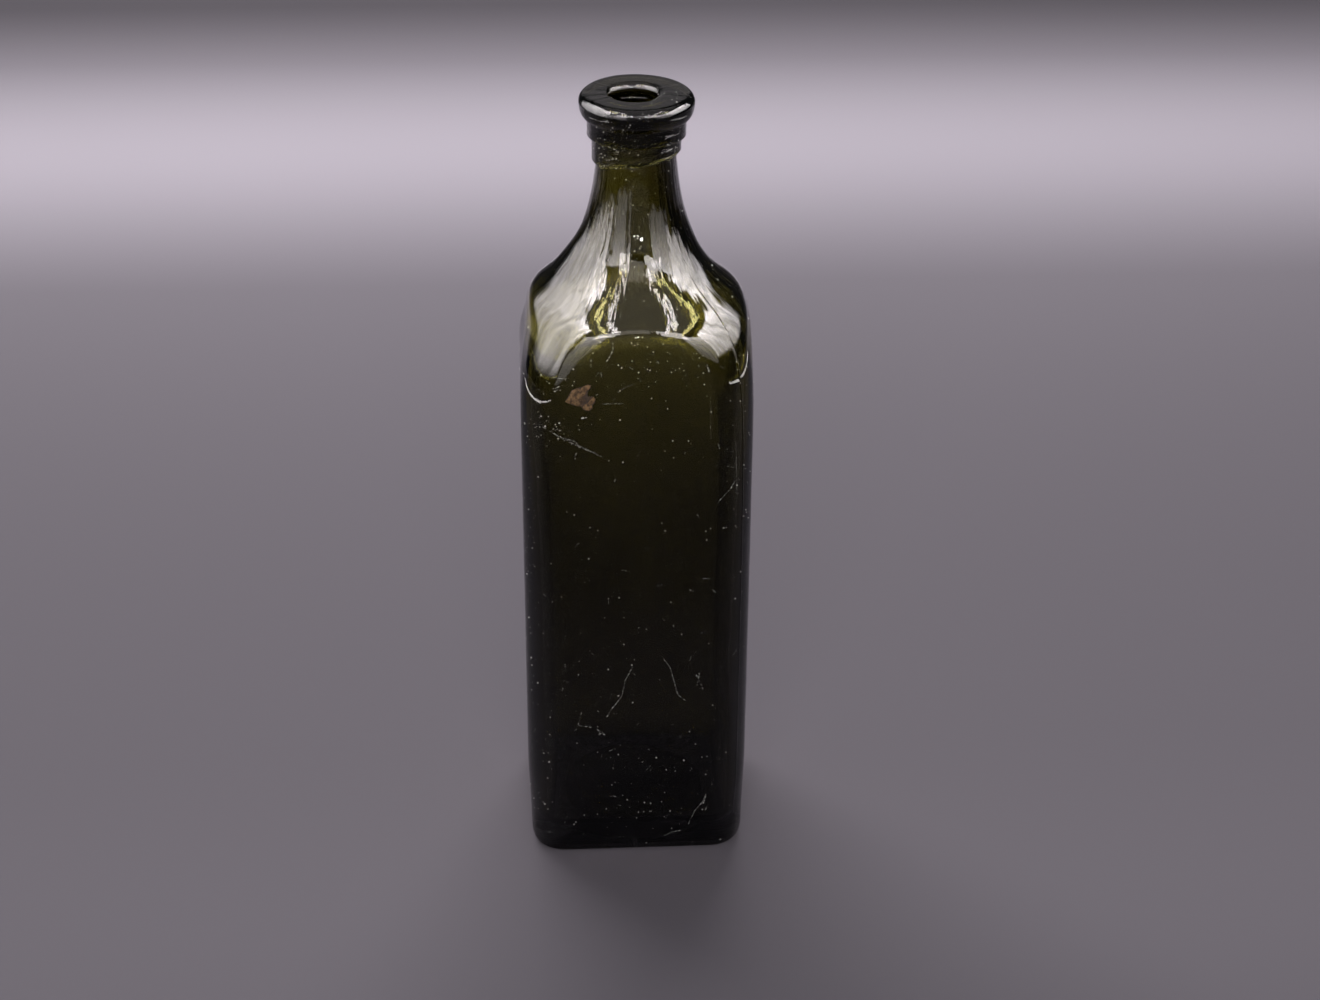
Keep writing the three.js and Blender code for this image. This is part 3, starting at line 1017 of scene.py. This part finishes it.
def mirrored(lamp, dim, bright, streaks=0, dashes=0, tint=PANEL_TINT, edge=0.04, sides=(1, 1)):
    """Lets a lamp show only in the glass, with its radiance running from its foot to its head."""
    lamp.visible_diffuse = False
    lamp.visible_glossy = True
    light = lamp.data
    light.color = tint
    light.energy = math.pi * light.size * light.size_y
    light.use_nodes = True
    tree = light.node_tree
    place = tree.nodes.new("ShaderNodeNewGeometry").outputs["Parametric"]
    across, along, _ = parts_of(tree, place)
    upwards = arithmetic(tree, "POWER", along, 1.5)
    radiance = arithmetic(tree, "MULTIPLY_ADD", upwards, bright - dim, dim)
    for share in (across, along):
        radiance = arithmetic(tree, "MULTIPLY", radiance, soft_edge(tree, share, edge))
    if sides[0] != sides[1]:
        radiance = arithmetic(tree, "MULTIPLY", radiance, ramp(tree, across, 0, 1, *sides))
    if streaks:
        uneven = noise_over(tree, place, scale=1, detail=3, rough=0.5, stretch=PANEL_STREAKS)
        share = ramp(tree, uneven, 0.3, 0.7, 1 - streaks, 1 + streaks)
        radiance = arithmetic(tree, "MULTIPLY", radiance, share)
    if dashes:
        wave = arithmetic(tree, "SINE", arithmetic(tree, "MULTIPLY", along, dashes * 2 * math.pi))
        radiance = arithmetic(tree, "MULTIPLY", radiance, ramp(tree, wave, -0.3, 0.3, 0, 1))
    tree.links.new(radiance, tree.nodes["Emission"].inputs["Strength"])


def studio_panel(name, azimuth, span, low, high, dim, bright, streaks, distance=1.5, **look):
    """An upright panel that shows only in the glass.

    It is given by its azimuth from the camera's side towards +X, half its span and the elevations
    of its lower and upper edge, in degrees, its radiance at foot and head, and how streaky it is.
    """
    turn = math.radians(azimuth)
    outwards = Vector((math.sin(turn), -math.cos(turn), 0))
    foot, head = (distance * math.tan(math.radians(a)) for a in (low, high))
    size = (2 * distance * math.tan(math.radians(span)), head - foot)
    place = SHOULDER_CENTRE + outwards * distance + Vector((0, 0, (foot + head) / 2))
    lamp = area_lamp(name, place, size, 1)
    lamp.rotation_euler = (-outwards).to_track_quat("-Z", "Y").to_euler()
    mirrored(lamp, dim, bright, streaks, **look)


def roof_strip(name, aside, near, far, width, radiance, dashes, tint=PANEL_TINT):
    """A dashed lamp along Y under the roof, its places and width as shares of the roof's height."""
    place = SHOULDER_CENTRE + Vector((aside, (near + far) / 2, 1)) * ROOF_HEIGHT
    lamp = area_lamp(name, place, (width * ROOF_HEIGHT, (far - near) * ROOF_HEIGHT), 1)
    mirrored(lamp, radiance, radiance, dashes=dashes, tint=tint)


def make_camera():
    data = bpy.data.cameras.new("camera")
    data.sensor_width = SENSOR_WIDTH
    data.lens = SENSOR_WIDTH * FOCAL_PIXELS / FRAME_WIDTH
    data.clip_start = CLIP_START
    camera = add_object("camera", data)
    right = CAMERA_FORWARD.cross(Vector((0, 0, 1))).normalized()
    up = right.cross(CAMERA_FORWARD)
    turned_right = right * math.cos(CAMERA_ROLL) + up * math.sin(CAMERA_ROLL)
    turned_up = up * math.cos(CAMERA_ROLL) - right * math.sin(CAMERA_ROLL)
    columns = Matrix((turned_right, turned_up, -CAMERA_FORWARD)).transposed()
    camera.matrix_world = Matrix.Translation(CAMERA_PLACE) @ columns.to_4x4()
    bpy.context.scene.camera = camera


def make_stage():
    """A sheet of grey paper with a painted band of light behind the bottle and painted shade
    towards the camera and far off.
    """
    bpy.ops.mesh.primitive_plane_add(size=FLOOR_SIZE, location=(0, 0, 0))
    floor = bpy.context.active_object
    floor.name = "stage_floor"
    material, tree, shader, _ = new_material("stage_floor")
    shader.inputs["Roughness"].default_value = 0.9
    shader.inputs["Specular IOR Level"].default_value = 0
    # The ramp over depth paints the floor's band of light and its painted shade nearer and further
    # off.
    shade = tree.nodes.new("ShaderNodeValToRGB")
    shade.color_ramp.interpolation = "B_SPLINE"
    _, depth, _ = parts_of(tree, object_place(tree))
    tree.links.new(ramp(tree, depth, FLOOR_NEAR, FLOOR_FAR, 0, 1), shade.inputs["Fac"])
    stops = shade.color_ramp.elements
    for at, _ in FLOOR_PAINTED_LIGHT[1:-1]:
        stops.new(at)
    for stop, (_, grey) in zip(stops, FLOOR_PAINTED_LIGHT):
        stop.color = (*(grey * share for share in FLOOR_TINT), 1)
    tree.links.new(shade.outputs["Color"], shader.inputs["Base Color"])
    floor.data.materials.append(material)


def make_world():
    """An even pale world, which shows only faintly in the glass."""
    world = bpy.data.worlds.new("world")
    bpy.context.scene.world = world
    world.use_nodes = True
    tree = world.node_tree
    background = tree.nodes["Background"]
    background.inputs["Color"].default_value = WORLD_TINT
    glossy = tree.nodes.new("ShaderNodeLightPath").outputs["Is Glossy Ray"]
    strength = ramp(tree, glossy, 0, 1, WORLD_LIGHT, WORLD_MIRRORED)
    tree.links.new(strength, background.inputs["Strength"])


def make_lights():
    """A key behind and a fill in front light the scene; the other lamps show only in the glass."""
    key = softbox("key_behind", -9, 42, 1.5, (1.5, 0.8), 20)
    fill = softbox("fill_front", -175, 5, 1.6, (0.9, 0.45), 15)
    left = {"distance": 0.28, "edge": 0.1, "sides": (0.45, 1.3)}
    studio_panel("panel_left", -99, 41, 1, 61, 4.5, 20, 0.55, **left)
    studio_panel("panel_left_near", -38, 19, -2, 43, 1, 8, 0.5)
    studio_panel("panel_right", 95, 33, 9, 48, 5, 20, 0.55, edge=0.1, sides=(1.3, 0.6))
    studio_panel("panel_right_near", 48, 16, 3, 40, 1, 9, 0.5)
    studio_panel("panel_front_left", -26, 11, 33, 48, 10, 7, 0.3)
    studio_panel("panel_front_right", 30, 14, 32, 50, 10, 8, 0.3)
    studio_panel("panel_front", 0, 14, 38, 54, 1.8, 1.2, 0.2)
    studio_panel("panel_front_low", 0, 27, -4, 33, 0.15, 0.4, 0.1)
    studio_panel("panel_back", 180, 20, 8, 34, 0.25, 0.25, 0.1)
    roof_place = SHOULDER_CENTRE + Vector((0, -0.1, 1.1)) * ROOF_HEIGHT
    mirrored(area_lamp("roof", roof_place, (1.9, 2.6), 1), 0.5, 0.5)
    roof_strip("strip_left", -0.28, -1.1, 0.2, 0.075, 26, 60)
    roof_strip("strip_left_dashed", -0.44, -0.9, 0.2, 0.07, 24, 50, STRIP_YELLOW)
    roof_strip("strip_right", 0.43, -1.1, 0.2, 0.075, 28, 60)
    roof_strip("strip_right_dashed", 0.69, -0.9, 0.2, 0.07, 26, 50, STRIP_YELLOW)
    mirrored(softbox("low_strip_left", -95, -10, 0.22, (0.26, 0.004), 1), 9, 9)
    mirrored(softbox("low_strip_right", 88, -6.5, 0.22, (0.2, 0.004), 1), 8, 8)
    glint = softbox("glint", 178, 23, 1.2, (0.07, 0.07), 1)
    mirrored(glint, 70, 70)
    for lamp in (key, fill, glint):
        lamp.visible_transmission = False


make_camera()
make_stage()
make_world()
make_lights()

body = make_body()
body.data.materials.append(glass_material("olive_glass", BODY_DENSITY, BODY_GRAIN))
lip = make_lip()
lip.data.materials.append(glass_material("lip_glass", LIP_DENSITY, LIP_GRAIN))
GLASS_TREES = [glass_tree(piece) for piece in (body, lip)]
scrap = make_scrap()
residue = make_residue()
scratches = make_scratches()
dust = make_dust()

for piece, stand_in, slot in (
    (body, "glass_body", "olive_glass"),
    (lip, "applied_lip", "lip_glass"),
    (scrap, "label_scrap", "old_paper"),
    (residue, None, "old_paper"),
    (scratches, None, "olive_glass"),
    (dust, None, "olive_glass"),
):
    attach(piece, "root")
    if stand_in:
        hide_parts(stand_in)

bpy.context.scene.view_settings.view_transform = "Standard"
